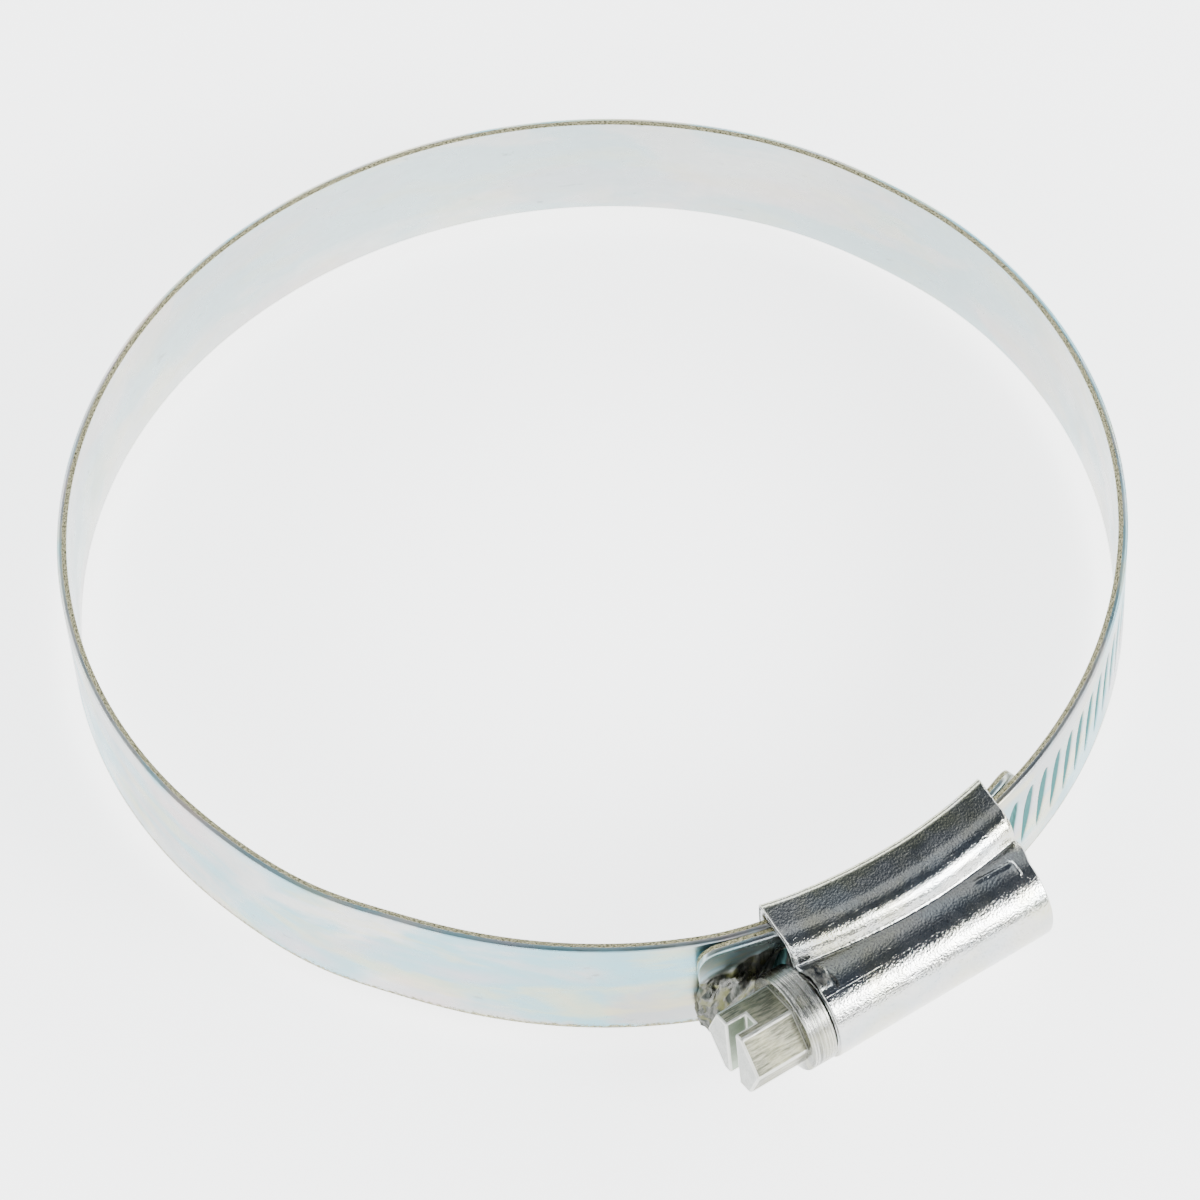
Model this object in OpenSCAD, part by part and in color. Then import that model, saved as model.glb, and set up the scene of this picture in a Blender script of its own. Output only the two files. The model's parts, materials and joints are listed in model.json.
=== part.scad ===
// Worm-drive hose clamp, 70 to 89 mm, pressed housing, 11 mm band.
// Origin: centre of the open ring at mid-width. +Z is the hose axis.
// The housing sits on -Y and the hexagon head of the screw points to -X.

/* [Band] */
// Inner radius of the fully open ring
ring_r = 44.5; // [44.3:0.1:44.7]
// Width of the band
band_w = 11; // [10.8:0.1:11.2]
// Thickness of the band
band_t = 0.85; // [0.8:0.01:0.88]
// Angle from +X where the threaded run hands over to the plain band
handover_angle = 5; // [4:1:7]
// Angle from +X where the plain band leaves the ring circle for the housing
leave_angle = 215; // [212:1:218]
// Corner radius of the two band ends
corner_r = 2.6; // [1:0.1:4]

/* [Band thread] */
// Angle between two thread slots, as seen from the centre of the housing's curve
slot_step = 2.65; // [2.6:0.01:2.7]
// Depth of a thread slot at its middle
slot_depth = 0.5; // [0.4:0.05:0.55]
// Width of a thread slot at the band's face
slot_mouth = 1.15; // [1.1:0.05:1.2]
// Width of a thread slot at its bottom
slot_floor = 0.6; // [0.5:0.05:0.65]
// Radius of the tool disc that leaves a slot, which sets its length
slot_disc_r = 7; // [6:0.5:8]
// Slant of the slots against the hose axis
slot_slant = 7; // [6:0.5:8]

/* [Housing] */
// Thickness of the pressed sheet
sheet_t = 0.7; // [0.6:0.05:0.75]
// Length of the housing along the screw
housing_len = 21.6; // [20:0.1:22]
// Outer radius of the barrel over the worm
barrel_r = 4.45; // [4.4:0.05:4.6]
// Outer radius of the rounded shoulders beside the barrel
shoulder_r = 2.2; // [2.1:0.05:2.3]
// Half width of the housing over its folded edges
fold_z = 6.9; // [6.8:0.05:7]
// Half width of the open strip between the two clenched legs
leg_gap = 0.8; // [0.5:0.1:2]

/* [Worm screw] */
// Outer radius of the worm thread
worm_r = 3.35; // [3.3:0.01:3.4]
// Depth of the worm thread
thread_h = 0.6; // [0.55:0.05:0.65]
// Depth to which the worm thread sits in the band's slots
mesh_depth = 0.36; // [0.3:0.01:0.38]
// Size across flats of the hexagon head
hex_af = 6.3; // [6:0.05:7]
// Length of the hexagon head
hex_len = 4.95; // [4.5:0.05:5.5]
// Radius of the collar
collar_r = 4.25; // [4.1:0.05:4.4]
// Length of the collar
collar_len = 2.3; // [2:0.1:2.4]
// Width of the screwdriver slot
driver_w = 1.25; // [1:0.05:1.6]
// Depth of the screwdriver slot
driver_d = 1.9; // [1.5:0.1:2.5]
// How far the hexagon is turned round the screw's axis
head_turn = 20; // [0:1:59]
// How far the screwdriver slot is turned against the hose axis
driver_turn = -4; // [-90:1:90]

/* [Hidden] */
$fn = 96;
eps = 0.02;          // play between layers that are clenched together
slide = 0.04;        // play between layers that slide over each other
joint_gap = 0.025;   // half of the gap between two band links
ring_links = 12;     // band links on the ring circle; the last two lead into the housing
leg_r = ring_r;                                  // inner face of the clenched legs
fixed_r = leg_r + sheet_t + eps;                 // inner face of the fixed band end
run_r = fixed_r + band_t + slide;                // inner face of the threaded run
run_top = run_r + band_t;                        // outer face of the threaded run
channel = -(run_r - ring_r) * [cos(handover_angle), sin(handover_angle)];
tail_angle = -21.3;                              // tail end, from the housing's middle
tongue_angle = 19;                               // far end of the fixed layer
fixed_start = -14.5;                             // head-side end of the fixed layer
exit_angle = -18.7;                              // last hinge, just outside the housing
shoulder_c = [run_top + 0.4, fold_z - 0.6 - shoulder_r];
leg_top = leg_r + sheet_t;
barrel_x = [-10.6, 10.3];                        // ends of the barrel along the screw
press_half = 30;                                 // half angle that the pressed sections sweep
screw_s = run_top - mesh_depth + worm_r;         // screw axis, from the channel's centre
worm_pitch = PI / 180 * slot_step * (run_top - mesh_depth / 2);
root_r = worm_r - thread_h;
collar_x = -13.15;                               // head-side face of the collar
head_x = collar_x - hex_len;                     // end face of the head
worm_x = [-8.7, 7.8];                            // ends of the worm thread
pilot_x = 10;                                    // far end of the screw
pilot_r = 2.2;
pilot_play = 0.08;                               // play of the pilot in its bearing hole
slots = [-6 : 31];                               // slot numbers along the threaded run

// ---- geometry helpers ----

function polar(r, a) = r * [cos(a), sin(a)];
function heading(v) = (atan2(v[1], v[0]) + 360) % 360;
// centre of the arc of radius r that runs counter-clockwise from p to q
function arc_centre(p, q, r) =
    let (d = q - p, half = norm(d) / 2, rise = sqrt(r * r - half * half))
    (p + q) / 2 + rise * [-d[1], d[0]] / norm(d);

// hinge points of the plain band, on its inner face: round the ring, then in to the housing
ring_hinges = [for (i = [0 : ring_links])
    polar(ring_r, handover_angle + i * (leave_angle - handover_angle) / ring_links)];
exit_hinge = channel + polar(fixed_r, exit_angle - 90);
bend_c = arc_centre(ring_hinges[ring_links], exit_hinge, ring_r);
bend_mid = (heading(ring_hinges[ring_links] - bend_c) + heading(exit_hinge - bend_c)) / 2;
hinges = concat(ring_hinges, [bend_c + polar(ring_r, bend_mid), exit_hinge]);

// strip of band between two angles round a centre
module band_arc(centre, r, from, to) {
    translate(centre)
        rotate(from)
            rotate_extrude(angle = to - from)
                translate([r, -band_w / 2])
                    square([band_t, band_w]);
}

// places its children on the housing's curve, with +X outwards and +Y along the band
module on_curve(angle) {
    translate(channel)
        rotate(angle - 90)
            children();
}

// places its children on the screw's axis, with +Z along the screw away from the head
module on_screw(x) {
    translate([channel[0] + x, channel[1] - screw_s, 0])
        rotate([0, 90, 0])
            children();
}

// cutter that rounds both corners of a band end; side is +1 or -1 along the band
module end_corners(angle, side) {
    on_curve(angle)
        for (z = [-1, 1])
            scale([1, side, z])
                translate([fixed_r - 1, -corner_r, band_w / 2 - corner_r])
                    difference() {
                        cube([4, corner_r + 1, corner_r + 1]);
                        translate([-1, 0, 0])
                            rotate([0, 90, 0])
                                cylinder(r = corner_r, h = 6);
                    }
}

// ---- band ----

module slot_cutter() {
    lip = (slot_mouth - slot_floor) / slot_depth / 2;
    over = 1;
    rotate([-slot_slant, 0, 0])
        translate([run_top - slot_depth + slot_disc_r, 0, 0])
            rotate([90, 0, 0])
                rotate_extrude()
                    polygon([[0, -slot_floor / 2 - lip * (slot_depth + over)],
                        [slot_disc_r - slot_depth - over,
                            -slot_floor / 2 - lip * (slot_depth + over)],
                        [slot_disc_r, -slot_floor / 2],
                        [slot_disc_r, slot_floor / 2],
                        [slot_disc_r - slot_depth - over,
                            slot_floor / 2 + lip * (slot_depth + over)],
                        [0, slot_floor / 2 + lip * (slot_depth + over)]]);
}

module band_thread_run() {
    color("gainsboro")
        difference() {
            band_arc(channel, run_r, tail_angle - 90, handover_angle);
            for (i = slots)
                on_curve(i * slot_step)
                    slot_cutter();
            end_corners(tail_angle, -1);
        }
}

module band_fixed_end() {
    color("gainsboro")
        difference() {
            band_arc(channel, fixed_r, fixed_start - 90, tongue_angle - 90);
            end_corners(tongue_angle, 1);
        }
}

module band_link(i) {
    centre = i <= ring_links ? [0, 0] : bend_c;
    gap = joint_gap / ring_r * 180 / PI;
    from = heading(hinges[i - 1] - centre);
    to = heading(hinges[i] - centre);
    color("gainsboro")
        band_arc(centre, ring_r, from + gap, to - gap);
}

// ---- housing ----

// outer outline of the flanged section: radius along X, hose axis along Y
module flange_outside() {
    for (side = [-1, 1])
        scale([1, side]) {
            translate(shoulder_c)
                circle(r = shoulder_r);
            polygon([[leg_r, 0],
                [shoulder_c[0] + shoulder_r, 0],
                [shoulder_c[0] + shoulder_r, shoulder_c[1]],
                [shoulder_c[0], shoulder_c[1] + shoulder_r],
                [leg_r + sheet_t, fold_z],
                [leg_r + sheet_t * 0.3, fold_z - 0.05],
                [leg_r, fold_z - sheet_t * 0.5]]);
        }
}

// hollow of the flanged section, with room for both band layers and the shoulders
module flange_inside() {
    r = shoulder_r - sheet_t;
    for (side = [-1, 1])
        scale([1, side]) {
            translate(shoulder_c)
                circle(r = r);
            polygon([[leg_top, 0],
                [shoulder_c[0] + r, 0],
                [shoulder_c[0] + r, shoulder_c[1]],
                [shoulder_c[0], shoulder_c[1] + r],
                [leg_top, fold_z - sheet_t * 1.1]]);
        }
}

// sweeps a section along the housing's curve
module pressed() {
    translate(channel)
        rotate(-90 - press_half)
            rotate_extrude(angle = 2 * press_half)
                children();
}

module housing() {
    past = 1;
    end_wall = sheet_t + 0.1;
    color("lightgray")
        difference() {
            union() {
                intersection() {
                    pressed()
                        flange_outside();
                    translate([channel[0] - housing_len / 2, -1.5 * ring_r, -fold_z - past])
                        cube([housing_len, ring_r, 2 * (fold_z + past)]);
                }
                on_screw(barrel_x[0])
                    cylinder(r = barrel_r, h = barrel_x[1] - barrel_x[0]);
            }
            pressed()
                flange_inside();
            // bore for the worm, open at the head end
            on_screw(barrel_x[0] - past)
                cylinder(r = barrel_r - sheet_t, h = barrel_x[1] - barrel_x[0] + past - end_wall);
            // bearing hole for the screw's pilot
            on_screw(0)
                cylinder(r = pilot_r + pilot_play, h = barrel_x[1] + past);
            // open strip between the clenched legs
            pressed()
                translate([leg_r - past, -leg_gap])
                    square([sheet_t + 1.5 * past, 2 * leg_gap]);
            // way for both band layers through the foot of the barrel
            pressed()
                translate([fixed_r, -band_w / 2 - 3 * slide])
                    square([run_top - fixed_r + slide, band_w + 6 * slide]);
        }
}

// ---- worm screw ----

// single-start right-hand thread round X, as a swept trapezium
module worm_thread() {
    per_turn = 24;
    bury = 0.15;     // how far the thread's foot sits inside the root
    crest = 0.4;     // width of the thread's top
    flank = 0.5;     // sideways run of a flank for each unit of height
    k0 = floor(worm_x[0] / worm_pitch * per_turn);
    k1 = ceil(worm_x[1] / worm_pitch * per_turn);
    n = k1 - k0;
    // the thread runs out over its last quarter turn, to two fifths of its height
    function rise(i) = thread_h * min(1, (i + 4) / 10, (n - i + 4) / 10);
    points = [for (i = [0 : n])
        let (a = (k0 + i) * 360 / per_turn,
            x = (k0 + i) * worm_pitch / per_turn,
            top = root_r + rise(i),
            base = root_r - bury,
            half = crest / 2 + flank * (thread_h + bury))
        each [[x - half, base * cos(a), base * sin(a)],
            [x - half + flank * (top - base), top * cos(a), top * sin(a)],
            [x + half - flank * (top - base), top * cos(a), top * sin(a)],
            [x + half, base * cos(a), base * sin(a)]]];
    faces = concat([[0, 2, 1], [0, 3, 2]],
        [for (i = [0 : n - 1], j = [0 : 3])
            let (p = 4 * i + j, q = 4 * i + (j + 1) % 4)
            each [[p, q + 4, p + 4], [p, q, q + 4]]],
        [[4 * n, 4 * n + 1, 4 * n + 2], [4 * n, 4 * n + 2, 4 * n + 3]]);
    polyhedron(points = points, faces = faces, convexity = 10);
}

module hexagon_head() {
    chamfer = 0.5;
    intersection() {
        cylinder(r = hex_af / sqrt(3), h = hex_len, $fn = 6);
        rotate_extrude()
            polygon([[0, 0],
                [hex_af / 2 - 0.1, 0],
                [hex_af / sqrt(3) + 0.1, chamfer],
                [hex_af / sqrt(3) + 0.1, hex_len],
                [0, hex_len]]);
    }
}

module worm_screw() {
    edge = 0.15;          // chamfer of the collar's rim
    groove_step = 0.3;
    root_past = 0.7;      // how far the root runs on past the thread
    color("silver")
        union() {
            translate([channel[0], channel[1] - screw_s, 0])
                worm_thread();
            on_screw(collar_x + collar_len)
                cylinder(r = root_r, h = worm_x[1] + root_past - collar_x - collar_len);
            on_screw(worm_x[1])
                cylinder(r = pilot_r, h = pilot_x - worm_x[1]);
            on_screw(collar_x)
                rotate_extrude()
                    difference() {
                        polygon([[0, 0],
                            [collar_r - edge, 0],
                            [collar_r, edge],
                            [collar_r, collar_len - edge],
                            [collar_r - edge, collar_len],
                            [0, collar_len]]);
                        // turned grooves round the rim
                        for (x = [0.75 : groove_step : 1.35])
                            translate([collar_r, x])
                                circle(r = 0.06, $fn = 16);
                    }
            on_screw(head_x)
                difference() {
                    rotate(head_turn)
                        hexagon_head();
                    rotate(driver_turn)
                        translate([-hex_af, -driver_w / 2, -1])
                            cube([2 * hex_af, driver_w, driver_d + 1]);
                }
        }
}

housing();
worm_screw();
band_fixed_end();
band_thread_run();
band_link(1);  // band_link_01
band_link(2);  // band_link_02
band_link(3);  // band_link_03
band_link(4);  // band_link_04
band_link(5);  // band_link_05
band_link(6);  // band_link_06
band_link(7);  // band_link_07
band_link(8);  // band_link_08
band_link(9);  // band_link_09
band_link(10);  // band_link_10
band_link(11);  // band_link_11
band_link(12);  // band_link_12
band_link(13);  // band_link_13
band_link(14);  // band_link_14
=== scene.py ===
import json
import math

import bpy
import numpy as np
from mathutils import Matrix, Vector


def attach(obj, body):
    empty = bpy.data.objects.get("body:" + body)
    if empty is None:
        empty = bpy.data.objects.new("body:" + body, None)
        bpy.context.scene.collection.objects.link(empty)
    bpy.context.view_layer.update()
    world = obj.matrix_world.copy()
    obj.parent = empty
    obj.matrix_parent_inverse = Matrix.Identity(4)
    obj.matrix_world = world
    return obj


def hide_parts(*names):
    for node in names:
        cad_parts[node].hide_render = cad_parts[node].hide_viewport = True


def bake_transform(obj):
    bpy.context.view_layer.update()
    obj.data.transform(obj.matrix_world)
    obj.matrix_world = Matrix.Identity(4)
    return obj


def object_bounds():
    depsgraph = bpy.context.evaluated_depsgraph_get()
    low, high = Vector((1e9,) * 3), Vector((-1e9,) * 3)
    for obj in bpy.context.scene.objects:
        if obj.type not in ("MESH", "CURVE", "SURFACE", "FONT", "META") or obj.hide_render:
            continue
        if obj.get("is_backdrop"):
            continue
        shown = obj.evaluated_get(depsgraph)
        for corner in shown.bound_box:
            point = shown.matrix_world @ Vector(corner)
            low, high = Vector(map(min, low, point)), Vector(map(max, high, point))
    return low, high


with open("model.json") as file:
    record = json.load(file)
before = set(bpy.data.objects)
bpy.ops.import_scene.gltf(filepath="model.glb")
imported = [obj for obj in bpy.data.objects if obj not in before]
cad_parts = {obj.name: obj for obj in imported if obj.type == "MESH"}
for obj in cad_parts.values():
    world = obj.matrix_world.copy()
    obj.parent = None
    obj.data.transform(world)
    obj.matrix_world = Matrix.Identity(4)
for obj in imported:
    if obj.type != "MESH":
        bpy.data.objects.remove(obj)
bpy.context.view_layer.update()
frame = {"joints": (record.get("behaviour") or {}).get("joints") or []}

# ---- driving dimensions, in millimetres and degrees, the same as the CAD's ----
MM = 0.001
RING_R = 44.5
BAND_W = 11.0
BAND_T = 0.85
SLIDE = 0.04
HANDOVER = 5.0
TAIL = -21.3
EXIT = -18.7
TONGUE = 19.0
SLOT_STEP = 2.65
FIRST_SLOT, LAST_SLOT = -6, 31
SHEET = 0.7
LEG_GAP = 0.8
FLANGE_X = 10.8
BARREL_X = (-10.6, 10.3)
BARREL_R = 4.45
SHOULDER_R = 2.2
FOLD_Z = 6.9
WORM_R = 3.35
THREAD_H = 0.6
MESH_DEPTH = 0.36
HEX_AF = 6.3
HEX_LEN = 4.95
COLLAR_R = 4.25
COLLAR_X = -13.15
COLLAR_LEN = 2.3
DRIVER_W = 1.25
DRIVER_D = 1.9
HEAD_TURN = 20
DRIVER_TURN = -4
EDGE_EASE = 0.2
PILOT_R = 2.2
PILOT_HOLE_R = 2.28
END_WALL_X = (9.55, 10.3)

# ---- what the visible model adds ----
SLOT_TALL = 3.35            # half of a slot's height
SLOT_WIDE = 0.66
SLOT_DEEP = 0.42
BURR = 0.12                 # the sheared edges' rough inner corner
ROLL_DEPTH = 0.42           # how far the outer corner is rolled over, across the thickness
ROLL_HEIGHT = 0.25          # and along the width
TAIL_CORNER_R = 1.7
TONGUE_CORNER_R = 2.4
TAIL_SPRING = (0.3, 5.2)    # the tail springs away by this much, over this length
TONGUE_SPRING = (0.45, 5.0)
SWELL = (0.3, 207)          # the ring isn't a perfect circle: how much, and at what angle
FLAT = (0.18, 20)
SWELL_SPREAD = 9
ROW_STEP = 0.34             # between cross-sections on the plain stretches
RUN_STEP = 0.125
TONGUE_STEP = 0.15
NOSE_R = 0.37               # the fold's outer rounding
RIM_R = 0.13                # the rounding of the housing's two rims
CREASE = 0.62               # how softly the barrel runs into the shoulders
LIP_A = 5.9                 # where the torn lip lies round the section, from the barrel's top
RIDGE_X, RIDGE_A = 9.0, 6.1
RIDGE_W, RIDGE_H = 0.16, 0.13

# ---- colours ----
BAND_GREY = (0.36, 0.37, 0.375, 1)
BAND_PALE = (0.56, 0.57, 0.56, 1)
BAND_INSIDE = (0.56, 0.585, 0.565, 1)
BLUE = (0.20, 0.43, 0.50, 1)
STRAW = (0.60, 0.53, 0.26, 1)
ROSE = (0.58, 0.42, 0.43, 1)
SMUDGE = (0.19, 0.22, 0.22, 1)
SPECK = (0.14, 0.17, 0.14, 1)
MOTTLE = (0.30, 0.33, 0.33, 1)
# grain of the rough cut edges, also used as painted shade along the band's bottom corner
SHEARED_AND_SHADE_DARK = (0.05, 0.05, 0.028, 1)
SHEARED_AND_SHADE_LIGHT = (0.50, 0.465, 0.29, 1)
# painted shade for the hollows of the pressed slots, dark teal
SLOT_SHADE_TEAL = (0.05, 0.14, 0.14, 1)
TORN_DARK = (0.03, 0.034, 0.03, 1)
TORN_GREY = (0.13, 0.13, 0.12, 1)
TORN_OLIVE = (0.12, 0.12, 0.045, 1)
HOUSING_PALE = (0.58, 0.58, 0.56, 1)
HOUSING_STRAW = (0.58, 0.56, 0.40, 1)
HOUSING_COOL = (0.42, 0.50, 0.56, 1)
HOUSING_FOLD = (0.50, 0.50, 0.34, 1)
HOUSING_PIT = (0.14, 0.15, 0.16, 1)
LIP_DARK = (0.015, 0.02, 0.025, 1)
HEXAGON = ((0.27, 0.265, 0.20, 1), (0.08, 0.083, 0.062, 1))
COLLAR = ((0.52, 0.52, 0.49, 1), (0.15, 0.155, 0.14, 1))
WORM = ((0.72, 0.72, 0.66, 1), (0.40, 0.41, 0.38, 1))
SAWN = ((0.44, 0.45, 0.43, 1), (0.26, 0.27, 0.25, 1))
DRIVER_WALL = (0.30, 0.35, 0.28, 1)
BAR_BLOTCH = (0.36, 0.35, 0.22, 1)
# painted highlight on the hexagon's eased edges
EDGE_HIGHLIGHT = (0.62, 0.62, 0.58, 1)

# ---- places worked out from the frame's joints ----
joint_at = {j["name"]: np.array(j["pos_m"]) / MM for j in frame["joints"]}
CHANNEL = joint_at["band_feed"][:2]
SCREW_Y = joint_at["screw_turn"][1]
HINGES = [joint_at[f"band_bend_{i:02d}"][:2] for i in range(1, 15)]
RUN_R = RING_R + np.hypot(*CHANNEL)
FIXED_R = RUN_R - BAND_T - SLIDE
RUN_TOP = RUN_R + BAND_T
SCREW_S = CHANNEL[1] - SCREW_Y
PITCH = math.radians(SLOT_STEP) * (RUN_TOP - MESH_DEPTH / 2)


def polar(r, degrees):
    a = np.radians(degrees)
    return np.stack([r * np.cos(a), r * np.sin(a)], -1)


def smoothstep(a, b, x):
    t = np.clip((x - a) / (b - a), 0, 1)
    return t * t * (3 - 2 * t)


def waves(x, y, seed):
    """A smooth uneven field between about -1 and 1, from a few crossed sines."""
    total = 0.0
    for i in range(1, 6):
        a = seed * 1.7 + i * 2.399
        k = 0.55 + 0.31 * i
        total = total + np.sin(k * (x * math.cos(a) + y * math.sin(a)) + 1.3 * seed * i) / i**0.5
    return total / 3.2


# ---- meshes ----
def finish_mesh(name, points, faces, uv, material, attributes=None):
    mesh = bpy.data.meshes.new(name)
    mesh.from_pydata((np.asarray(points) * MM).tolist(), [], faces)
    mesh.polygons.foreach_set("use_smooth", [True] * len(mesh.polygons))
    if uv is not None:
        layer = mesh.uv_layers.new(name="strip")
        layer.data.foreach_set("uv", np.asarray(uv, np.float32).ravel())
    for key, values in (attributes or {}).items():
        made = mesh.attributes.new(key, "FLOAT", "POINT")
        made.data.foreach_set("value", np.asarray(values, np.float32).ravel())
    mesh.materials.append(material)
    mesh.update()
    obj = bpy.data.objects.new(name, mesh)
    bpy.context.scene.collection.objects.link(obj)
    return obj


def grid_faces(rows, columns, wrap, flip):
    """Quads of a grid, with each corner's (row, column) for its UV."""
    i, j = np.meshgrid(np.arange(rows - 1), np.arange(columns - (not wrap)), indexing="ij")
    corners = [(i, j), (i + 1, j), (i + 1, j + 1), (i, j + 1)]
    if flip:
        corners.reverse()
    index = np.stack([a * columns + b % columns for a, b in corners], -1).reshape(-1, 4)
    rows_at = np.stack([a for a, b in corners], -1).reshape(-1, 4)
    columns_at = np.stack([b for a, b in corners], -1).reshape(-1, 4)
    return index, rows_at, columns_at


# ---- the band's path: tail, threaded run, ring, and the end clenched in the housing ----
def arc(centre, r, start, end):
    count = int(abs(math.radians(end - start)) * r / 0.05) + 1
    return centre + polar(r, np.linspace(start, end, count))


def arc_between(p, q, r):
    half = np.hypot(*(q - p)) / 2
    across = np.array([p[1] - q[1], q[0] - p[0]])
    centre = (p + q) / 2 + math.sqrt(r * r - half * half) * across / (2 * half)
    a, b = (math.degrees(math.atan2(*(v - centre)[::-1])) % 360 for v in (p, q))
    return arc(centre, r, a, b)


exit_point = CHANNEL + polar(FIXED_R, EXIT - 90)
stretches = [
    arc(CHANNEL, RUN_R, TAIL - 90, HANDOVER),
    arc(np.zeros(2), RING_R, HANDOVER, math.degrees(math.atan2(*HINGES[12][::-1])) % 360),
    arc_between(HINGES[12], exit_point, RING_R),
    arc(CHANNEL, FIXED_R, EXIT - 90, TONGUE - 90),
]
path = np.concatenate([stretches[0]] + [s[1:] for s in stretches[1:]])
length = np.concatenate([[0], np.cumsum(np.hypot(*np.diff(path, axis=0).T))])
s_run, s_ring, s_bend, s_end = [length[len(np.concatenate(stretches[:n + 1])) - n - 1]
                                for n in range(4)]


def soften(points, places, reach):
    """Rounds the path's slight corners at places, within reach on each side."""
    spread = np.arange(-4 * reach, 4 * reach + 0.01, 0.05) / reach
    kernel = np.exp(-(spread**2) * 2)
    kernel /= kernel.sum()
    pad = len(kernel) // 2
    padded = np.pad(points, ((pad, pad), (0, 0)), "edge")
    smooth = np.stack([np.convolve(padded[:, c], kernel, "valid") for c in (0, 1)], -1)
    near = np.max([np.exp(-((length - p) / (2.2 * reach)) ** 4) for p in places], 0)[:, None]
    return points * (1 - near) + smooth * near


path = soften(path, [s_ring, s_bend], 2.2)
along = np.gradient(path, length, axis=0)
along /= np.hypot(*along.T)[:, None]
outward = np.stack([along[:, 1], -along[:, 0]], -1)

# the strip isn't a perfect circle: a slight flat and a slight swell, and both free ends spring away
turn = np.degrees(np.arctan2(path[:, 1], path[:, 0])) % 360
on_ring = (length > s_run) & (length < s_bend)
swell = (SWELL[0] * np.exp(-(((turn - SWELL[1]) / SWELL_SPREAD) ** 2))
         - FLAT[0] * np.exp(-(((turn - FLAT[1]) / SWELL_SPREAD) ** 2)))
lift = np.where(on_ring, swell, 0)
rise, reach = TAIL_SPRING
lift += rise * np.clip((reach - length) / reach, 0, 1) ** 2
rise, reach = TONGUE_SPRING
lift -= rise * np.clip((length - s_end + reach) / reach, 0, 1) ** 2
path = path + outward * lift[:, None]


def at(s):
    """Inner-face point and outward direction of the band at distance s from the tail."""
    p = np.stack([np.interp(s, length, path[:, c]) for c in (0, 1)], -1)
    n = np.stack([np.interp(s, length, outward[:, c]) for c in (0, 1)], -1)
    return p, n / np.hypot(*n.T)[:, None]


def band_section(across):
    """Closed outline of the strip: depth from the inner face, height, perimeter, edge-grain share
    and the number of points on a face. The blade rolled the outer corners over, and left the rest
    of each edge, and the inner corners, rough. The bottom of the outer face and the lower rolled
    corner get the same dark grain as painted shade where the band meets the floor."""
    half = BAND_W / 2
    face = np.concatenate([[-1], np.linspace(-0.975, 0.975, across), [1]])
    bend = np.radians(np.linspace(0, 90, 9)[1:-1])
    bite = np.radians(np.linspace(0, 90, 4)[1:-1])
    flat = np.linspace(BAND_T - ROLL_DEPTH, BURR, 4)
    flat_part = [0.5, 1, 1, 1]
    # painted shade: the bottom of the outer face gets the edge grain, a dark line where the band
    # meets the floor
    bottom_shade_line = np.concatenate([[0.62, 0.56], 0 * face[2:]])
    outlines = [
        (np.full(len(face), BAND_T), face * (half - ROLL_HEIGHT), bottom_shade_line),
        (BAND_T - ROLL_DEPTH * (1 - np.cos(bend)), half - ROLL_HEIGHT * (1 - np.sin(bend)),
         0 * bend),
        (flat, np.full(4, half), flat_part),
        (BURR * (1 - np.sin(bite)), half - BURR * (1 - np.cos(bite)), 0 * bite + 0.9),
        (np.zeros(len(face)), face[::-1] * (half - BURR), 0 * face),
        (BURR * (1 - np.cos(bite)), -half + BURR * (1 - np.sin(bite)), 0 * bite + 0.9),
        (flat[::-1], np.full(4, -half), flat_part[::-1]),
        # painted shade: the lower rolled corner gets the same dark edge grain
        (BAND_T - ROLL_DEPTH * (1 - np.sin(bend)), -half + ROLL_HEIGHT * (1 - np.cos(bend)),
         bend * 0 + 0.62),
    ]
    depth, height, sheared_and_shade = (np.concatenate(column) for column in zip(*outlines))
    steps = np.hypot(np.diff(depth, append=depth[0]), np.diff(height, append=height[0]))
    around = np.concatenate([[0], np.cumsum(steps)]) - half + ROLL_HEIGHT
    return depth, height, around, sheared_and_shade, len(face)


def corner_width(distance, r):
    """Share of the band's width that is left near a rounded end."""
    d = np.clip(distance, 0, r)
    return 1 - (r - np.sqrt(np.clip(r * r - (r - d) ** 2, 0, None))) / (BAND_W / 2)


def torn_tail(s, z):
    """Where the strip was torn off, from 0 to 1, and the height of the burrs that it left there."""
    where = smoothstep(-0.1, 0.5, s) * smoothstep(5.6, 4.6, s - 0.3 * z) * smoothstep(-5.2, -4.6, z)
    where = where * smoothstep(2.2, 1.2, z - 0.35 * s + 0.6 * waves(1.6 * s, z, 9))
    u = s - 0.38 * z + 0.28 * waves(1.7 * s, 1.7 * z, 11)
    ridges = 0.0
    for size, share, seed in ((2.0, 0.7, 3), (4.6, 0.22, 7), (11.0, 0.08, 12)):
        field = np.abs(waves(size * u, 0.3 * size * z, seed))
        ridges = ridges + share * (1 - np.minimum(field * 2.4, 1))
    # lower where the tail goes in under the collar
    highest = 0.25 + 0.25 * smoothstep(4.2, 3.7, s)
    return where, where * highest * np.clip(0.12 + 1.1 * ridges, 0, 1)


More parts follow.
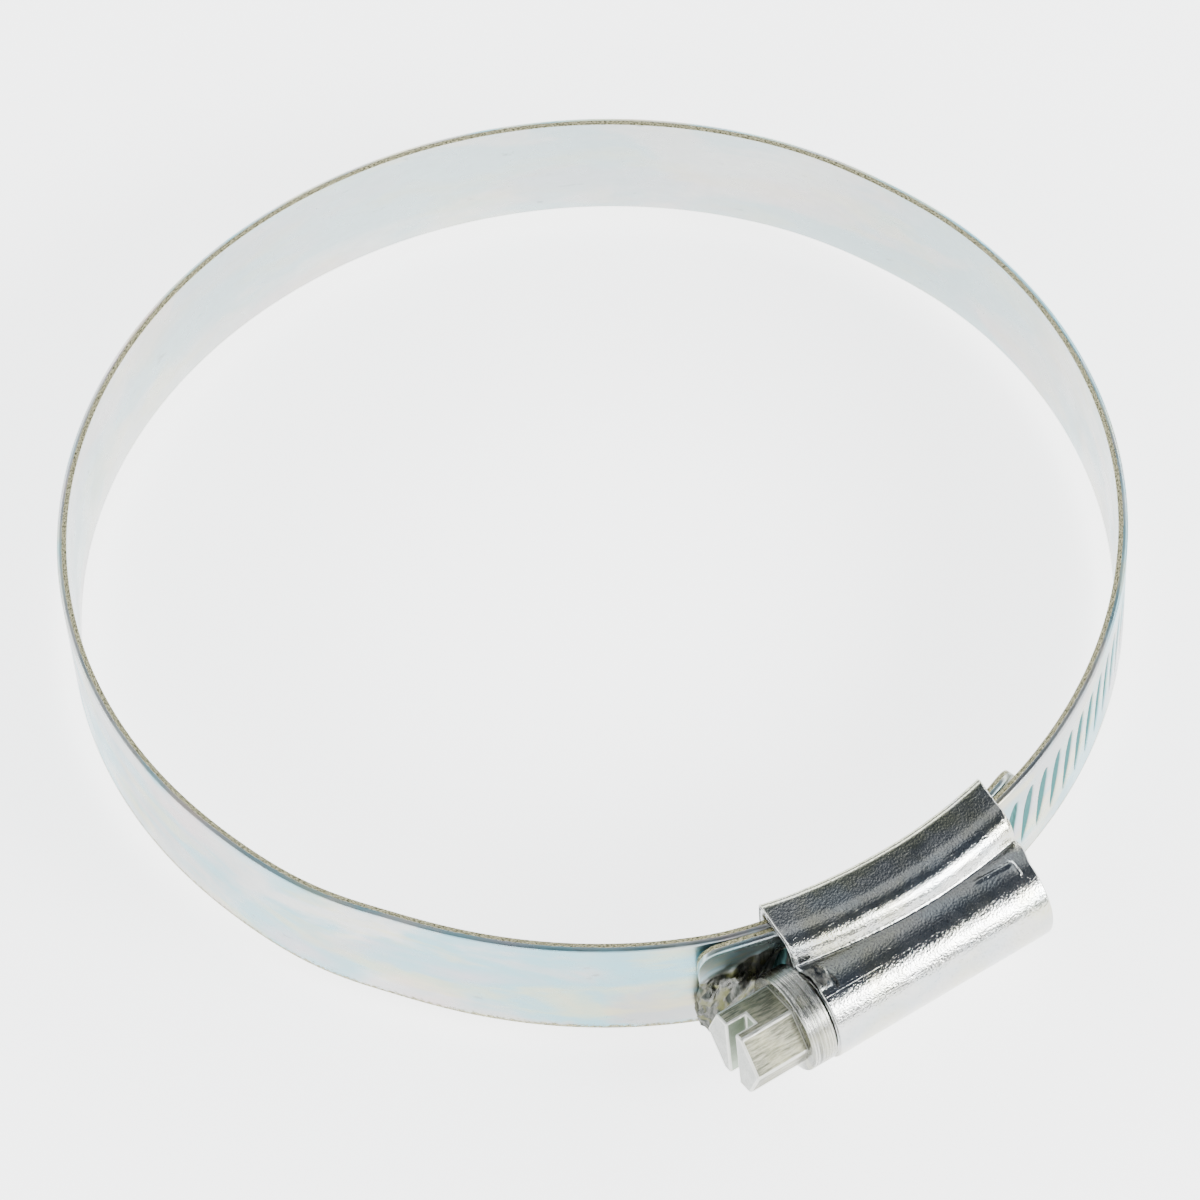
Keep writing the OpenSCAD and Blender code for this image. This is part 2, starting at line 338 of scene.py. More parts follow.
def slot_depth(s, z):
    """Depth of the pressed thread at distance s and height z: slanted slots, fuller on top."""
    middle = s_run - math.radians(HANDOVER + 90) * RUN_R
    depth = np.zeros_like(s)
    for k in range(FIRST_SLOT, LAST_SLOT + 1):
        off = s - middle - math.radians(k * SLOT_STEP) * RUN_R
        near = np.abs(off) < 1.6
        if not near.any():
            continue
        up = (z[near] + 0.1) / SLOT_TALL
        t = np.clip((up + 1) / 2, 0, 1)
        lean = 0.13 * z[near] + 0.16 * up**2 * np.sign(up)
        half = SLOT_WIDE * np.clip(t, 1e-4, 1) ** 0.75 * np.clip(1 - t, 1e-4, 1) ** 0.42 * 2.05
        q = (off[near] - lean) / np.maximum(half, 0.05)
        inside = smoothstep(-1, -0.1, q) * (1 - smoothstep(0.62, 1.0, q)) * (np.abs(up) < 1)
        inside *= smoothstep(0, 0.12, t) * smoothstep(0, 0.08, 1 - t)
        depth[near] = np.maximum(depth[near], SLOT_DEEP * inside)
    return depth


def strip(name, s, across, ends=(None, None), threaded=False):
    """One stretch of the band as a tube of cross-sections, with corner radii at its free ends."""
    depth, height, around, sheared_and_shade, face = band_section(across)
    p, n = at(s)
    width = np.ones(len(s))
    for which, r in enumerate(ends):
        if r:
            width = np.minimum(width, corner_width(np.abs(s - s[-which]), r))
    z = height[None, :] * width[:, None]
    x = np.repeat(depth[None, :], len(s), 0)
    recess, torn, back = np.zeros_like(x), np.zeros_like(x), np.zeros_like(x)
    if threaded:
        ss = np.repeat(s[:, None], face, 1)
        where, burr = torn_tail(ss, z[:, :face])
        hollow = slot_depth(ss, z[:, :face]) * (1 - where)
        x[:, :face] += burr - hollow
        recess[:, :face] = hollow / SLOT_DEEP
        torn[:, :face] = where
        # the free end is ragged where it was torn
        ragged = 0.6 * np.abs(waves(2.2 * z, z, 4)) * smoothstep(2.4, 1.0, z)
        ragged = ragged - 0.4 * np.exp(-(((z + 2.2) / 1.6) ** 2))
        back = ragged * np.exp(-((s[:, None] / 0.9) ** 2))
        torn = np.maximum(torn, smoothstep(2.4, 1.4, z) * np.exp(-((s[:, None] / 0.5) ** 2)))
    run_way = np.stack([-n[:, 1], n[:, 0]], -1)
    points = p[:, None, :] + n[:, None, :] * x[:, :, None]
    points = points + run_way[:, None, :] * back[:, :, None]
    points = np.concatenate([points, z[:, :, None]], -1)
    count, loop = x.shape
    index, i, j = grid_faces(count, loop, True, False)
    faces = index.tolist()
    uv = np.stack([s[i], around[j]], -1).reshape(-1, 2) / 10
    for which, r in enumerate(ends):
        if r is None:
            continue
        row = 0 if which == 0 else count - 1
        ring = [row * loop + k for k in range(loop)]
        faces.append(ring if which == 0 else ring[::-1])
        cap = np.stack([np.full(loop, s[row] / 10), np.full(loop, 0.58)], -1)
        uv = np.concatenate([uv, cap])
    attributes = {"recess": recess, "torn": torn, "sheared_and_shade": np.repeat(sheared_and_shade[None, :], count, 0)}
    return finish_mesh(name, points.reshape(-1, 3), faces, uv, band_zinc, attributes)


# ---- materials ----
class Shader:
    """A Principled material with short calls for adding and joining nodes."""

    def __init__(self, name):
        self.material = bpy.data.materials.new(name)
        self.material.use_nodes = True
        self.tree = self.material.node_tree
        self.surface = self.tree.nodes["Principled BSDF"]

    def add(self, kind, links=(), out=0, **settings):
        node = self.tree.nodes.new("ShaderNode" + kind)
        for key, value in settings.items():
            setattr(node, key, value)
        for socket, value in dict(links).items():
            if isinstance(value, bpy.types.NodeSocket):
                self.tree.links.new(value, node.inputs[socket])
            else:
                node.inputs[socket].default_value = value
        return node.outputs[out]

    def math(self, operation, a, b=0.0, c=0.0):
        return self.add("Math", {0: a, 1: b, 2: c}, operation=operation)

    def noise(self, vector, scale, detail=2.0, rough=0.5, distortion=0.0):
        return self.add("TexNoise", {"Vector": vector, "Scale": scale, "Detail": detail,
                                     "Roughness": rough, "Distortion": distortion})

    def ramp(self, value, low, high, to_low=0.0, to_high=1.0):
        links = {"Value": value, "From Min": low, "From Max": high, "To Min": to_low,
                 "To Max": to_high}
        return self.add("MapRange", links, interpolation_type="SMOOTHSTEP")

    def mix(self, share, a, b):
        links = {"Factor": share, 6: a, 7: b}
        return self.add("Mix", links, out=2, data_type="RGBA")

    def tint(self, colour, share, amount, other):
        return self.mix(self.math("MULTIPLY", share, amount), colour, other)

    def stretch(self, vector, scale):
        return self.add("Mapping", {"Vector": vector, "Scale": scale})

    def bump(self, height, distance, strength=1.0, normal=None):
        links = {"Height": height, "Distance": distance * MM, "Strength": strength}
        if normal is not None:
            links["Normal"] = normal
        return self.add("Bump", links)

    def set(self, **sockets):
        for key, value in sockets.items():
            socket = self.surface.inputs[key.replace("_", " ")]
            if isinstance(value, bpy.types.NodeSocket):
                self.tree.links.new(value, socket)
            else:
                socket.default_value = value


def band_material():
    """Passivated zinc on rolled strip: pale bands of blue, straw and rose, grainy cut edges, and
    the same dark grain along the bottom corner as painted shade where the band meets the floor.
    """
    m = Shader("band_zinc")
    uv = m.add("UVMap", uv_map="strip")
    clouds = m.stretch(uv, (0.55, 1.3, 1))
    blue = m.ramp(m.noise(clouds, 1.1, 4, 0.55, 0.6), 0.42, 0.56)
    straw = m.ramp(m.noise(m.stretch(uv, (0.5, 1.9, 7)), 1.6, 4, 0.6, 0.4), 0.48, 0.66)
    rose = m.ramp(m.noise(m.stretch(uv, (0.4, 1.4, 3)), 1.3, 3, 0.5, 0.3), 0.50, 0.66)
    deep = m.ramp(m.noise(m.stretch(uv, (0.16, 0.3, 2)), 1.4, 2, 0.5), 0.36, 0.64)
    # the inner face has less of the tints; smudges and specks lie on both
    inner = m.ramp(m.add("SeparateXYZ", {0: uv}, out=1), 0.60, 0.63)
    tints = m.ramp(inner, 0, 1, 1.0, 0.38)
    colour = m.mix(deep, BAND_GREY, BAND_PALE)
    colour = m.tint(colour, inner, 0.6, BAND_INSIDE)
    colour = m.tint(colour, m.math("MULTIPLY", blue, 0.85), tints, BLUE)
    colour = m.tint(colour, m.math("MULTIPLY", straw, 0.5), tints, STRAW)
    colour = m.tint(colour, m.math("MULTIPLY", rose, 0.5), tints, ROSE)
    smudge = m.ramp(m.noise(m.stretch(uv, (2.2, 5.5, 5)), 1.5, 3, 0.55, 0.3), 0.66, 0.78)
    colour = m.tint(colour, smudge, 0.6, SMUDGE)
    speck = m.ramp(m.noise(m.stretch(uv, (5, 9, 1)), 1.2, 4, 0.7), 0.66, 0.74)
    patch = m.ramp(m.noise(uv, 0.9, 2, 0.5), 0.46, 0.58)
    colour = m.tint(colour, m.math("MULTIPLY", speck, patch), 0.65, SPECK)
    mottle = m.ramp(m.noise(m.stretch(uv, (2.5, 6, 1)), 2.5, 5, 0.7), 0.35, 0.65)
    colour = m.tint(colour, mottle, 0.16, MOTTLE)
    # the rough cut part of both edges, and painted shade: the same dark grain along the bottom
    # corner, where the band meets the floor
    sheared_and_shade = m.add("Attribute", out=2, attribute_name="sheared_and_shade")
    ragged = m.math("MULTIPLY_ADD", m.noise(m.stretch(uv, (9, 9, 1)), 3.0, 4, 0.7), 0.8, -0.4)
    edge = m.ramp(m.math("ADD", sheared_and_shade, ragged), 0.42, 0.6)
    grain = m.noise(m.stretch(uv, (6, 12, 1)), 7.0, 5, 0.75)
    edge_colour = m.mix(m.ramp(grain, 0.40, 0.60), SHEARED_AND_SHADE_DARK, SHEARED_AND_SHADE_LIGHT)
    colour = m.mix(edge, colour, edge_colour)
    # the pressed slots, painted dark teal inside as painted shade in their hollows, and the torn
    # tail
    recess = m.add("Attribute", out=2, attribute_name="recess")
    colour = m.mix(m.ramp(recess, 0.03, 0.35), colour, SLOT_SHADE_TEAL)
    torn = m.add("Attribute", out=2, attribute_name="torn")
    smear = m.noise(m.stretch(uv, (9, 2.2, 1)), 2.4, 5, 0.6)
    smear_colour = m.mix(m.ramp(smear, 0.38, 0.64), TORN_DARK, TORN_GREY)
    olive = m.ramp(m.noise(m.stretch(uv, (5, 4, 3)), 1.6, 2, 0.5), 0.48, 0.62)
    smear_colour = m.tint(smear_colour, olive, 0.6, TORN_OLIVE)
    colour = m.mix(m.ramp(torn, 0.2, 0.6), colour, smear_colour)
    # roughness, rolling marks and relief
    rolled = m.noise(m.stretch(uv, (0.6, 22, 1)), 3.0, 4, 0.6)
    fine = m.noise(m.stretch(uv, (9, 9, 1)), 7.0, 3, 0.6)
    rough = m.ramp(m.noise(uv, 2.3, 4, 0.6), 0.3, 0.75, 0.24, 0.4)
    rough = m.math("ADD", rough, m.math("MULTIPLY", edge, 0.12))
    normal = m.bump(rolled, 0.012, 0.6)
    normal = m.bump(fine, 0.014, 0.5, normal)
    normal = m.bump(m.math("MULTIPLY", grain, edge), 0.12, 0.8, normal)
    normal = m.bump(m.math("MULTIPLY", smear, torn), 0.07, 0.7, normal)
    m.set(Base_Color=colour, Roughness=rough, Metallic=1.0, Normal=normal)
    return m.material


def housing_material():
    """Bright zinc on a deep-drawn pressing: fine grain, straw tints by the fold, hairlines."""
    m = Shader("housing_zinc")
    place = m.add("TexCoord", out=3)
    height = m.math("ABSOLUTE", m.add("SeparateXYZ", {0: place}, out=2))
    height = m.math("MULTIPLY_ADD", m.noise(place, 300, 3, 0.6), 0.0012, height)
    fold = m.ramp(height, 0.0071, 0.0075)
    tint = m.ramp(m.noise(place, 170, 4, 0.6), 0.42, 0.68)
    cool = m.ramp(m.noise(m.stretch(place, (1, 1.6, 2)), 240, 3, 0.5), 0.46, 0.68)
    colour = m.tint(HOUSING_PALE, tint, 0.7, HOUSING_STRAW)
    colour = m.tint(colour, cool, 0.4, HOUSING_COOL)
    colour = m.tint(colour, fold, 0.7, HOUSING_FOLD)
    pits = m.ramp(m.noise(place, 7000, 3, 0.7), 0.52, 0.66)
    colour = m.tint(colour, pits, 0.6, HOUSING_PIT)
    torn = m.add("Attribute", out=2, attribute_name="torn")
    smear = m.noise(m.stretch(place, (1, 0.5, 1)), 3000, 5, 0.7)
    smear_colour = m.mix(m.ramp(smear, 0.38, 0.60), LIP_DARK, TORN_GREY)
    colour = m.mix(m.ramp(torn, 0.1, 0.5), colour, smear_colour)
    peel = m.noise(place, 5600, 1.0, 0.5)
    grain = m.noise(place, 10000, 3, 0.65)
    wide = m.noise(place, 420, 2, 0.5)
    scratch = m.ramp(m.noise(m.stretch(place, (0.05, 12, 12)), 700, 1, 0.5), 0.66, 0.74)
    rough = m.ramp(m.noise(place, 700, 4, 0.65), 0.3, 0.7, 0.11, 0.18)
    rough = m.math("MULTIPLY_ADD", torn, 0.25, rough)
    normal = m.bump(wide, 0.05, 0.3)
    normal = m.bump(peel, 0.034, 0.85, normal)
    normal = m.bump(grain, 0.010, 0.8, normal)
    normal = m.bump(m.math("MULTIPLY", scratch, -1.0), 0.012, 0.4, normal)
    normal = m.bump(m.math("MULTIPLY", smear, torn), 0.2, 0.8, normal)
    m.set(Base_Color=colour, Roughness=rough, Metallic=1.0, Normal=normal)
    return m.material


def sawn_faces(m, place, marks, colour):
    """Adds the head's end faces, the sawn walls of its driver slot and a painted highlight on its
    eased edges.
    """
    t = math.radians(DRIVER_TURN)
    across_slot = (0, math.cos(t), math.sin(t))
    crosswise = m.add("VectorMath", {0: place, 1: across_slot}, out=1, operation="DOT_PRODUCT")
    off_slot = m.math("ABSOLUTE", m.math("SUBTRACT", crosswise, SCREW_Y * math.cos(t) * MM))
    in_slot = m.ramp(off_slot, (DRIVER_W / 2 + 0.05) * MM, (DRIVER_W / 2 + 0.01) * MM)
    slot_end = (CHANNEL[0] + COLLAR_X - HEX_LEN + DRIVER_D) * MM
    in_depth = m.ramp(m.add("SeparateXYZ", {0: place}), slot_end + 0.05 * MM, slot_end + 0.01 * MM)
    in_slot = m.math("MULTIPLY", in_slot, in_depth)
    facing = m.math("ABSOLUTE", m.add("SeparateXYZ", {0: m.add("NewGeometry", out=1)}))
    light, dark = SAWN
    colour = m.mix(m.ramp(facing, 0.6, 0.8), colour, m.mix(m.ramp(marks, 0.3, 0.7), dark, light))
    colour = m.mix(in_slot, colour, DRIVER_WALL)
    edge_highlight = m.add("Attribute", out=2, attribute_name="edge_highlight")
    # painted highlight: the eased edges are lightened
    return m.tint(colour, edge_highlight, 0.8, EDGE_HIGHLIGHT)


def bar_material(name, stretched, scale, colours, rough, depth, sawn=False):
    """Zinc on drawn or turned bar; stretched gives the way that its tool marks run."""
    m = Shader(name)
    light, dark = colours
    place = m.add("TexCoord", out=3)
    marks = m.noise(m.stretch(place, stretched), scale, 5, 0.7)
    blotch = m.ramp(m.noise(place, 420, 4, 0.6), 0.45, 0.7)
    colour = m.mix(m.ramp(marks, 0.36, 0.64), dark, light)
    colour = m.tint(colour, blotch, 0.4, BAR_BLOTCH)
    roughness = m.ramp(m.noise(place, 900, 3, 0.6), 0.3, 0.7, rough - 0.07, rough + 0.08)
    if sawn:
        colour = sawn_faces(m, place, marks, colour)
    normal = m.bump(marks, depth, 0.8)
    normal = m.bump(m.noise(place, 5200, 3, 0.6), 0.02, 0.4, normal)
    m.set(Base_Color=colour, Roughness=roughness, Metallic=1.0, Normal=normal)
    return m.material


band_zinc = band_material()
housing_zinc = housing_material()
hexagon_zinc = bar_material("hexagon_zinc", (0.12, 1, 1), 6200, HEXAGON, 0.40, 0.09, sawn=True)
collar_zinc = bar_material("collar_zinc", (1, 0.02, 0.02), 5200, COLLAR, 0.24, 0.09)
worm_zinc = bar_material("worm_zinc", (1, 0.3, 0.3), 2600, WORM, 0.36, 0.03)

# ---- the band, in stretches that meet half way between two hinges ----
hinge_s = [s_run + (s_ring - s_run) * i / 12 for i in range(13)] + [(s_ring + s_bend) / 2, s_bend]
middle_s = [(a + b) / 2 for a, b in zip(hinge_s, hinge_s[1:])]
run_stop = s_run - (middle_s[0] - s_run)


def rows(start, end, step):
    return np.linspace(start, end, int(abs(end - start) / step) + 2)


def close_to_end(start, end, step, at_start):
    """Rows of a stretch with a rounded free end, packed closer together near it."""
    near = np.array([0, 0.005, 0.026, 0.08, 0.16])
    packed = 0.26
    if at_start:
        return np.concatenate([start + near, rows(start + packed, end, step)])
    return np.concatenate([rows(start, end - packed, step), (end - near)[::-1]])


run = strip("band_thread", close_to_end(0.0, run_stop, RUN_STEP, True), 52,
            (TAIL_CORNER_R, None), threaded=True)
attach(run, "threaded_run")
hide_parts("band_thread_run")
bodies = ["threaded_run"] + [f"band_link_{i:02d}" for i in range(1, 15)]
starts = [run_stop] + middle_s[:-1]
for k, (start, end) in enumerate(zip(starts, middle_s)):
    piece = strip(f"band_stretch_{k + 1:02d}", rows(start, end, ROW_STEP), 10)
    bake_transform(piece)
    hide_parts(bodies[k + 1])
last = strip("band_stretch_15", rows(middle_s[-1], s_bend, ROW_STEP), 10)
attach(last, "band_link_14")
held = strip("band_clenched_end", close_to_end(s_bend, s_end, TONGUE_STEP, False), 12,
             (None, TONGUE_CORNER_R))
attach(held, "housing_body")
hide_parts("band_fixed_end")

# ---- the housing: one pressed sheet, its section swept from rim to rim ----
SHOULDER = (RUN_TOP + 0.4, FOLD_Z - 0.6 - SHOULDER_R)
RAYS_FROM = 48.4            # inside the barrel, where the rays that find the section start
FACE_ROWS, NOSE_ROWS, LEG_ROWS = 110, 9, 18


def smooth_max(a, b, k):
    h = np.clip(0.5 + 0.5 * (a - b) / k, 0, 1)
    return b + (a - b) * h + k * h * (1 - h)


def reach_circle(origin, direction, centre, r):
    """How far a ray from inside leaves a circle, or 0 where it misses."""
    d = centre - origin
    b = (d * direction).sum(-1)
    inside = b * b - (d * d).sum(-1) + r * r
    return np.where(inside > 0, b + np.sqrt(np.maximum(inside, 0)), 0)


def half_section(x, share):
    """Outer face of the section's upper half at x, from the barrel's top to the fold's nose."""
    def bent(r):
        return np.sqrt(r * r - x * x)
    zero = np.zeros_like(x)
    shoulder = np.stack([bent(SHOULDER[0]), zero + SHOULDER[1]], -1)
    nose = np.stack([bent(RING_R + NOSE_R), zero + FOLD_Z - NOSE_R], -1)
    origin = np.stack([RAYS_FROM - (RUN_TOP - bent(RUN_TOP)) * 0.55, zero], -1)
    top = shoulder + np.array([-0.25, SHOULDER_R])
    tip = nose + np.array([0.1, NOSE_R])
    to_tip = tip - origin
    last_turn = np.arctan2(to_tip[..., 1], to_tip[..., 0])
    a = share * last_turn
    ray = np.stack([np.cos(a), np.sin(a)], -1)
    barrel = reach_circle(origin, ray, np.stack([zero + SCREW_S, zero], -1), BARREL_R)
    round_part = reach_circle(origin, ray, shoulder, SHOULDER_R)
    side = tip - top
    cross = ray[..., 0] * side[..., 1] - ray[..., 1] * side[..., 0]
    w = top - origin
    flat = w[..., 0] * side[..., 1] - w[..., 1] * side[..., 0]
    flat = flat / np.where(np.abs(cross) < 1e-9, 1e-9, cross)
    to_top = top - origin
    past = a > np.arctan2(to_top[..., 1], to_top[..., 0])
    flange = np.where(past, flat, round_part)
    r = smooth_max(barrel, flange, CREASE)
    return origin + ray * r[..., None]


def blur_rows(points, passes):
    """Evens out the section a little, with its two ends held."""
    for _ in range(passes):
        inner = (points[:, :-2] + 2 * points[:, 1:-1] + points[:, 2:]) / 4
        points = np.concatenate([points[:, :1], inner, points[:, -1:]], 1)
    return points


def housing_faces(stations):
    """Outer and inner face of the section's upper half at each station, down to the leg's end."""
    share = np.linspace(0, 1, FACE_ROWS)
    on_barrel = 1 - smoothstep(0.42, 0.60, share)
    left = -FLANGE_X + on_barrel * (FLANGE_X + BARREL_X[0])
    right = FLANGE_X - on_barrel * (FLANGE_X - BARREL_X[1])
    x = left + (right - left) * stations[:, None]
    outer = blur_rows(half_section(x, np.repeat(share[None, :], len(stations), 0)), 3)
    # round the nose, along the leg and round the leg's end
    far = np.repeat(x[:, -1:], NOSE_ROWS, 1)
    turn = np.radians(np.linspace(75, 180, NOSE_ROWS))
    nose_s = np.sqrt((RING_R + NOSE_R) ** 2 - far**2)
    nose_z = FOLD_Z - NOSE_R + NOSE_R * np.sin(turn) + 0 * far
    nose = np.stack([nose_s + NOSE_R * np.cos(turn), nose_z], -1)
    leg_x = np.repeat(x[:, -1:], LEG_ROWS, 1)
    leg_z = np.linspace(FOLD_Z - NOSE_R - 0.3, LEG_GAP, LEG_ROWS)
    leg_z = np.repeat(leg_z[None, :], len(stations), 0)
    leg_z = leg_z + 0.12 * waves(leg_x * 1.5, leg_z * 0, 3) * smoothstep(1.6, LEG_GAP, leg_z)
    leg = np.stack([np.sqrt(RING_R**2 - leg_x**2), leg_z], -1)
    outer_all = np.concatenate([outer, nose, leg], 1)
    all_x = np.concatenate([x, far, leg_x], 1)
    # the sheet's other face
    step = np.gradient(outer, axis=1)
    step /= np.linalg.norm(step, axis=-1)[..., None]
    # the barrel's top lies on the plane of symmetry, where the face runs straight across
    step[:, 0] = (0, 1)
    normal = np.stack([step[..., 1], -step[..., 0]], -1)
    inner = outer - normal * SHEET
    leg_top_s = np.sqrt((RING_R + SHEET) ** 2 - x[:, -1:] ** 2)
    inner[..., 0] = np.maximum(inner[..., 0], leg_top_s)
    corner_z = np.minimum(inner[:, -1:, 1], FOLD_Z - SHEET)
    inner_nose = np.stack([np.repeat(v, NOSE_ROWS, 1) for v in (leg_top_s, corner_z)], -1)
    inner_leg = np.stack([np.repeat(leg_top_s, LEG_ROWS, 1), np.minimum(leg_z, corner_z)], -1)
    inner_all = np.concatenate([inner, inner_nose, inner_leg], 1)
    return outer_all, inner_all, all_x


def mirrored(points, x):
    """The whole section from its upper half, with the barrel's top counted once."""
    other = points[:, :0:-1].copy()
    other[..., 1] *= -1
    return np.concatenate([other, points], 1), np.concatenate([x[:, :0:-1], x], 1)


def press_marks(xo, a):
    """Relief of the outer face, and where it is torn; a runs round it from the barrel's top."""
    # broad unevenness of the drawn sheet
    relief = 0.022 * waves(xo * 0.8, a * 1.1, 2) + 0.008 * waves(xo * 2.4, a * 2.1, 5)
    # the torn lip at the rim of the head end, in the crease, raised by the staking tool
    lip = np.exp(-(((a - LIP_A) / 0.95) ** 4))
    lip = lip * smoothstep(-9.3, -9.8, xo + 0.3 * waves(a * 3, a, 6))
    relief += lip * (0.28 + 0.26 * waves(xo * 6, a * 5, 4))
    torn = lip + 0.8 * np.exp(-(((a - 5.2) / 0.7) ** 2) - ((xo + 9.1) / 0.25) ** 2)
    # a shallow step across the shoulder, where the blank was sheared
    step = smoothstep(2.2, 2.35, xo) * smoothstep(4.6, 3.6, xo)
    relief -= 0.035 * (step * smoothstep(9.3, 9.9, a) * smoothstep(12.2, 11.4, a))
    # the raised ridge by the far end, in the shape of an L
    across = np.exp(-(((xo - RIDGE_X) / RIDGE_W) ** 2))
    across = across * smoothstep(4.7, 5.1, a) * smoothstep(6.25, 6.05, a)
    line = RIDGE_A + 0.14 * (RIDGE_X - xo)
    lengthwise = np.exp(-(((a - line) / RIDGE_W) ** 2))
    lengthwise = lengthwise * smoothstep(5.0, 6.0, xo) * smoothstep(9.2, 8.95, xo)
    relief += RIDGE_H * np.maximum(across, lengthwise)
    return relief, torn


def housing_body():
    """The whole sheet: outer face, inner face, and eased rims at both ends."""
    n = 130
    outer, inner, x = housing_faces(np.linspace(0, 1, n))
    outer, xo = mirrored(outer, x)
    inner, _ = mirrored(inner, x)
    steps = np.linalg.norm(np.diff(outer[n // 2], axis=0), axis=-1)
    around = np.concatenate([[0], np.cumsum(steps)])
    around -= around[-1] / 2
    step = np.gradient(outer, axis=1)
    size = np.maximum(np.linalg.norm(step, axis=-1), 1e-6)
    normal = np.stack([step[..., 1], -step[..., 0]], -1) / size[..., None]
    relief, torn = press_marks(xo, np.repeat(around[None, :], n, 0))
    outer = outer + normal * relief[..., None]

    def place(face, xs):
        return np.stack([CHANNEL[0] + xs, CHANNEL[1] - face[..., 0], face[..., 1]], -1)
    thick = np.linalg.norm(outer - inner, axis=-1)[..., None]
    unit = (inner - outer) / np.maximum(thick, 1e-6)
    rows_out, rows_in = [], []
    quarter = np.radians([0, 30, 60, 90])
    ease = [(RIM_R * (1 - math.sin(t)), RIM_R * (1 - math.cos(t))) for t in quarter]
    for b, i in reversed(ease):
        rows_out.append(place(outer[0] + unit[0] * i, xo[0] + b))
        rows_in.append(place(inner[0] - unit[0] * i, xo[0] + b))
    for s in range(1, n - 1):
        rows_out.append(place(outer[s], xo[s]))
        rows_in.append(place(inner[s], xo[s]))
    for b, i in ease:
        rows_out.append(place(outer[-1] + unit[-1] * i, xo[-1] - b))
        rows_in.append(place(inner[-1] - unit[-1] * i, xo[-1] - b))
    top = np.stack(rows_out)
    under = np.stack(rows_in)[:, ::-1]
    grid = np.concatenate([top, under], 1)
    torn = np.repeat(torn, [len(ease)] + [1] * (n - 2) + [len(ease)], axis=0)
    torn = np.concatenate([torn, np.zeros(under.shape[:2])], 1)
    count, loop = grid.shape[:2]
    index, _, _ = grid_faces(count, loop, True, True)
    faces = index.tolist()
    for row, flip in ((0, False), (count - 1, True)):
        for c in range(top.shape[1] - 1):
            far = loop - 1 - c
            quad = [row * loop + k for k in (c, c + 1, far - 1, far)]
            faces.append(quad[::-1] if flip else quad)
    return finish_mesh("housing_pressing", grid.reshape(-1, 3), faces, None, housing_zinc,
                       {"torn": np.clip(torn, 0, 1)})


pressing = housing_body()
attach(pressing, "housing_body")
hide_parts("housing")


# ---- turned pieces round the screw's axis ----
def turned(name, profile, around, material):
    """Revolves (x, radius) points round the screw's axis."""
    profile = np.array(profile, float)
    a = np.linspace(0, 2 * math.pi, around, endpoint=False)
    x = np.repeat(profile[:, :1], around, 1)
    r = np.repeat(profile[:, 1:], around, 1)
    points = np.stack([CHANNEL[0] + x, SCREW_Y + r * np.cos(a), r * np.sin(a)], -1)
    index, _, _ = grid_faces(len(profile), around, True, True)
    return finish_mesh(name, points.reshape(-1, 3), index.tolist(), None, material)


def rounded(corners, r, steps=4):
    """An open polyline with each inner corner rounded by r."""
    corners = np.array(corners, float)
    out = [corners[0]]
    for p, c, q in zip(corners, corners[1:], corners[2:]):
        u, v = (p - c) / np.hypot(*(p - c)), (q - c) / np.hypot(*(q - c))
        for t in np.linspace(0, 1, steps + 1):
            out.append(c + u * r * (1 - t) ** 2 + v * r * t**2)
    out.append(corners[-1])
    return out


wall_edge = BARREL_R - SHEET / 2
wall = rounded([(END_WALL_X[0], wall_edge), (END_WALL_X[0], PILOT_HOLE_R),
                (END_WALL_X[1], PILOT_HOLE_R), (END_WALL_X[1], wall_edge)], 0.15)
end_wall = turned("housing_end_wall", wall, 72, housing_zinc)
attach(end_wall, "housing_body")

COLLAR_BORE = 2.6
COLLAR_END = COLLAR_X + COLLAR_LEN
collar_points = rounded([(COLLAR_X, COLLAR_BORE), (COLLAR_X, COLLAR_R), (COLLAR_END, COLLAR_R),
                         (COLLAR_END, COLLAR_BORE)], 0.16)
# fine turning grooves on the rim, every third one shallower
rim_part = [(x, COLLAR_R - 0.05 * (math.sin(x * 21) ** 8) * (1 if k % 3 else 0.4))
            for k, x in enumerate(np.linspace(COLLAR_X + 0.2, COLLAR_END - 0.2, 60))]
half_way = len(collar_points) // 2
collar_points = collar_points[:half_way] + rim_part + collar_points[half_way:]
collar = turned("screw_collar", collar_points, 128, collar_zinc)
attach(collar, "worm_screw")


def worm():
    """The worm's thread, its run-outs, and the pilot with its closed end."""
    start, end = -8.7, 7.8
    rows_count, around = 190, 96
    root = WORM_R - THREAD_H
    x = np.linspace(COLLAR_END - 0.1, 10.0, rows_count)
    a = np.linspace(0, 2 * math.pi, around, endpoint=False)
    xx, aa = np.meshgrid(x, a, indexing="ij")
    phase = (xx / PITCH - aa / (2 * math.pi) + 0.5) % 1 - 0.5
    rise = 1 - smoothstep(0.2, 0.55, np.abs(phase) * PITCH)
    rise *= smoothstep(start - 0.6, start + 0.2, xx) * smoothstep(end + 0.6, end - 0.2, xx)
    r = root + THREAD_H * rise
    r = np.where(xx > end + 0.7, PILOT_R, r)
    points = np.stack([CHANNEL[0] + xx, SCREW_Y + r * np.cos(aa), r * np.sin(aa)], -1)
    index, _, _ = grid_faces(rows_count, around, True, True)
    faces = index.tolist()
    faces.append([(rows_count - 1) * around + k for k in range(around)])
    return finish_mesh("screw_worm", points.reshape(-1, 3), faces, None, worm_zinc)


thread = worm()
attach(thread, "worm_screw")
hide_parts("worm_screw")


